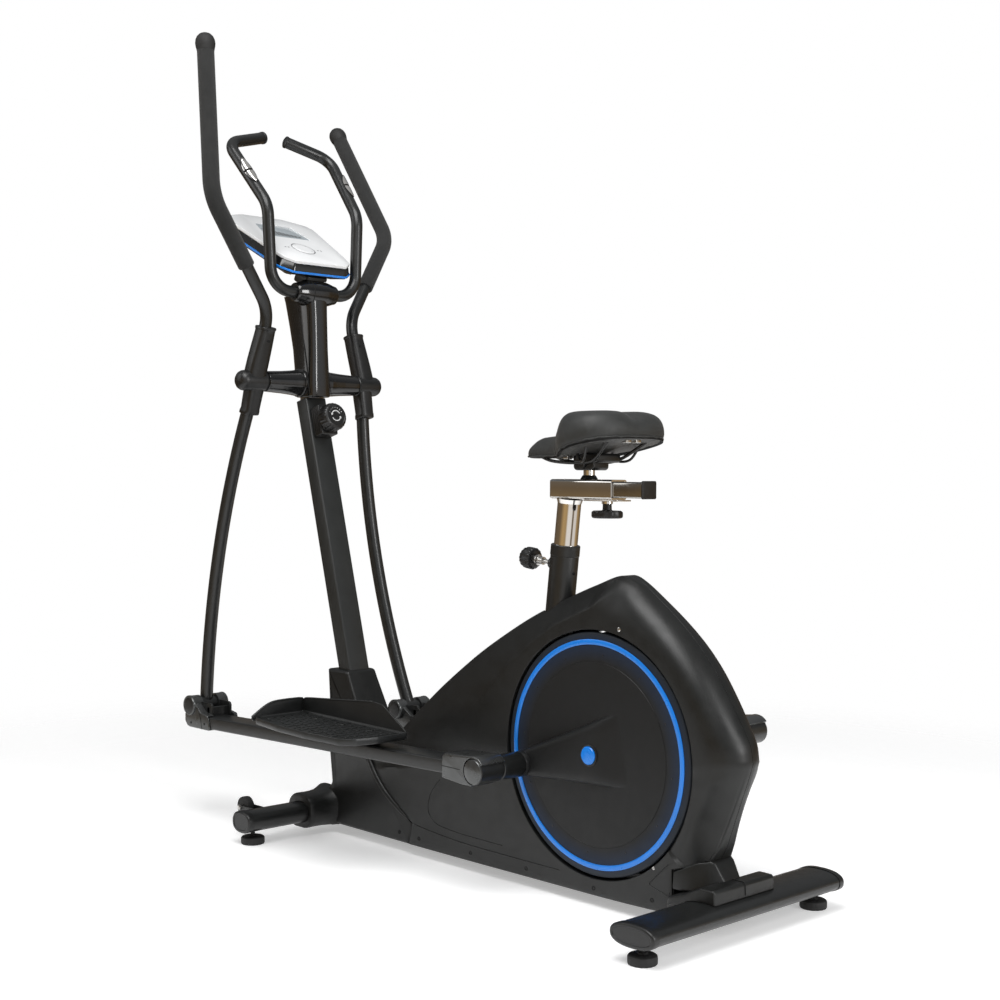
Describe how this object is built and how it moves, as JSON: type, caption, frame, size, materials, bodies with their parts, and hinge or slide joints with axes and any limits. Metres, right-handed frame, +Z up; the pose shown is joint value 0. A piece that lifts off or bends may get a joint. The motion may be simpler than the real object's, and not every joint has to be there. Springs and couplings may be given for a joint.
{
  "type": "elliptical trainer",
  "caption": "Elliptical cross trainer with swinging arms, pedals on sliding rails, an enclosed crank and flywheel, a display, and a padded bicycle seat on a post.",
  "frame": {"origin": "on the floor, under the middle of the machine's box", "axes": "+X to the rider's left, +Y to the rear, +Z up; the rider faces -Y"},
  "size_m": [0.6786, 1.6304, 1.7852],
  "materials": {
    "black_steel": "satin black powder coat",
    "black_plastic": "fine-textured matt black",
    "gloss_plastic": "smooth glossy black",
    "silver_plastic": "dark silver-grey metallic",
    "chrome": "polished",
    "bare_steel": "turned",
    "rubber": "matt",
    "foam": "soft closed-cell foam",
    "vinyl": "soft charcoal vinyl",
    "white_plastic": "glossy white"
  },
  "bodies": {
    "frame": {"base_frame": "black_steel", "mast": "black_steel", "front_stabiliser_tube": "black_steel", "rear_stabiliser_tube": "black_steel", "front_left_end_cap": "black_plastic", "front_right_end_cap": "black_plastic", "rear_left_end_cap": "black_plastic", "rear_right_end_cap": "black_plastic", "left_housing_shell": "black_plastic", "right_housing_shell": "black_plastic", "front_housing_cover": "black_plastic", "rear_skirt_cover": "black_plastic", "neck_cover": "gloss_plastic", "handlebar_clamp": "gloss_plastic", "fixed_handlebar": "black_steel", "left_pulse_sensor": "chrome", "right_pulse_sensor": "chrome", "console_back_shell": "black_plastic", "console_face": "white_plastic", "tension_knob_housing": "black_plastic", "drive_belt": "rubber", "magnetic_brake": "bare_steel", "left_axle_cover": "gloss_plastic", "right_axle_cover": "gloss_plastic"},
    "crank": {"drive_pulley": "black_plastic", "left_crank_arm": "black_steel", "right_crank_arm": "black_steel", "left_crank_disc": "black_plastic", "right_crank_disc": "black_plastic"},
    "flywheel": {"flywheel": "bare_steel"},
    "left_arm": {"left_arm_tube": "black_steel", "left_handle_tube": "black_steel", "left_foam_grip": "foam", "left_pivot_cover": "black_plastic"},
    "left_rail": {"left_rail": "black_steel", "left_fork_cover": "silver_plastic", "left_rail_end_cover": "silver_plastic", "left_pedal": "black_plastic"},
    "right_arm": {"right_arm_tube": "black_steel", "right_handle_tube": "black_steel", "right_foam_grip": "foam", "right_pivot_cover": "black_plastic"},
    "right_rail": {"right_rail": "black_steel", "right_fork_cover": "silver_plastic", "right_rail_end_cover": "silver_plastic", "right_pedal": "black_plastic"},
    "console_button": {"console_button": "white_plastic"},
    "tension_knob": {"tension_knob": "black_plastic"},
    "seat_post": {"seat_post": "chrome"},
    "saddle": {"seat_slider_bar": "chrome", "saddle_base": "black_plastic", "saddle_cushion": "vinyl"},
    "height_knob": {"seat_height_knob": "black_plastic"},
    "slider_knob": {"seat_slider_knob": "black_plastic"},
    "left_wheel": {"left_transport_wheel": "rubber"},
    "right_wheel": {"right_transport_wheel": "rubber"},
    "front_left_foot": {"front_left_foot": "rubber"},
    "front_right_foot": {"front_right_foot": "rubber"},
    "rear_left_foot": {"rear_left_foot": "rubber"},
    "rear_right_foot": {"rear_right_foot": "rubber"}
  },
  "joints": [
    {"name": "crank_spin", "type": "hinge", "parent": "frame", "child": "crank", "pos_m": [0, 0.48, 0.291], "axis": [1, 0, 0], "continuous": true},
    {"name": "flywheel_spin", "type": "hinge", "parent": "frame", "child": "flywheel", "pos_m": [0, 0.08, 0.205], "axis": [1, 0, 0], "continuous": true},
    {"name": "left_arm_swing", "type": "hinge", "parent": "frame", "child": "left_arm", "pos_m": [0, -0.495, 1.029], "axis": [1, 0, 0], "range_deg": [-0.3, 26.2]},
    {"name": "right_arm_swing", "type": "hinge", "parent": "frame", "child": "right_arm", "pos_m": [0, -0.495, 1.029], "axis": [1, 0, 0], "range_deg": [-26.2, 0.3]},
    {"name": "left_rail_tilt", "type": "hinge", "parent": "left_arm", "child": "left_rail", "pos_m": [0, -0.67855, 0.26679], "axis": [1, 0, 0], "range_deg": [-21.5, 0.3]},
    {"name": "right_rail_tilt", "type": "hinge", "parent": "right_arm", "child": "right_rail", "pos_m": [0, -0.32507, 0.26364], "axis": [1, 0, 0], "range_deg": [-0.3, 21.5]},
    {"name": "console_button_press", "type": "slide", "parent": "frame", "child": "console_button", "axis": [0, -0.4848, -0.8746], "range_m": [0, 0.0015], "stiffness_N_per_m": 600},
    {"name": "tension_knob_turn", "type": "hinge", "parent": "frame", "child": "tension_knob", "pos_m": [0, -0.42197, 0.9448], "axis": [0, 0.9655, 0.2605], "range_deg": [0, 270]},
    {"name": "seat_height", "type": "slide", "parent": "frame", "child": "seat_post", "axis": [0, 0.1132, 0.9936], "range_m": [-0.06, 0.1]},
    {"name": "seat_fore_aft", "type": "slide", "parent": "seat_post", "child": "saddle", "axis": [0, 1, 0], "range_m": [-0.06, 0.04]},
    {"name": "height_knob_pull", "type": "slide", "parent": "frame", "child": "height_knob", "axis": [0, -0.9936, 0.1132], "range_m": [0, 0.008], "stiffness_N_per_m": 900},
    {"name": "slider_knob_turn", "type": "hinge", "parent": "seat_post", "child": "slider_knob", "pos_m": [0, 0.453, 0.773], "axis": [0, 0, 1], "range_deg": [0, 270]},
    {"name": "left_wheel_spin", "type": "hinge", "parent": "frame", "child": "left_wheel", "pos_m": [0.226, -0.428, 0.07], "axis": [1, 0, 0], "continuous": true},
    {"name": "right_wheel_spin", "type": "hinge", "parent": "frame", "child": "right_wheel", "pos_m": [-0.226, -0.428, 0.07], "axis": [1, 0, 0], "continuous": true},
    {"name": "front_left_foot_turn", "type": "hinge", "parent": "frame", "child": "front_left_foot", "pos_m": [0.247, -0.37, 0], "axis": [0, 0, 1], "continuous": true},
    {"name": "front_right_foot_turn", "type": "hinge", "parent": "frame", "child": "front_right_foot", "pos_m": [-0.247, -0.37, 0], "axis": [0, 0, 1], "continuous": true},
    {"name": "rear_left_foot_turn", "type": "hinge", "parent": "frame", "child": "rear_left_foot", "pos_m": [0.247, 0.765, 0], "axis": [0, 0, 1], "continuous": true},
    {"name": "rear_right_foot_turn", "type": "hinge", "parent": "frame", "child": "rear_right_foot", "pos_m": [-0.247, 0.765, 0], "axis": [0, 0, 1], "continuous": true}
  ],
  "couplings": [
    {"joint": "flywheel_spin", "follows": "crank_spin", "ratio": 6.3889},
    {"joint": "right_arm_swing", "follows": "left_arm_swing", "ratio": -1},
    {"joint": "left_rail_tilt", "follows": "left_arm_swing", "ratio": -0.8172},
    {"joint": "right_rail_tilt", "follows": "left_arm_swing", "ratio": 0.8172}
  ]
}
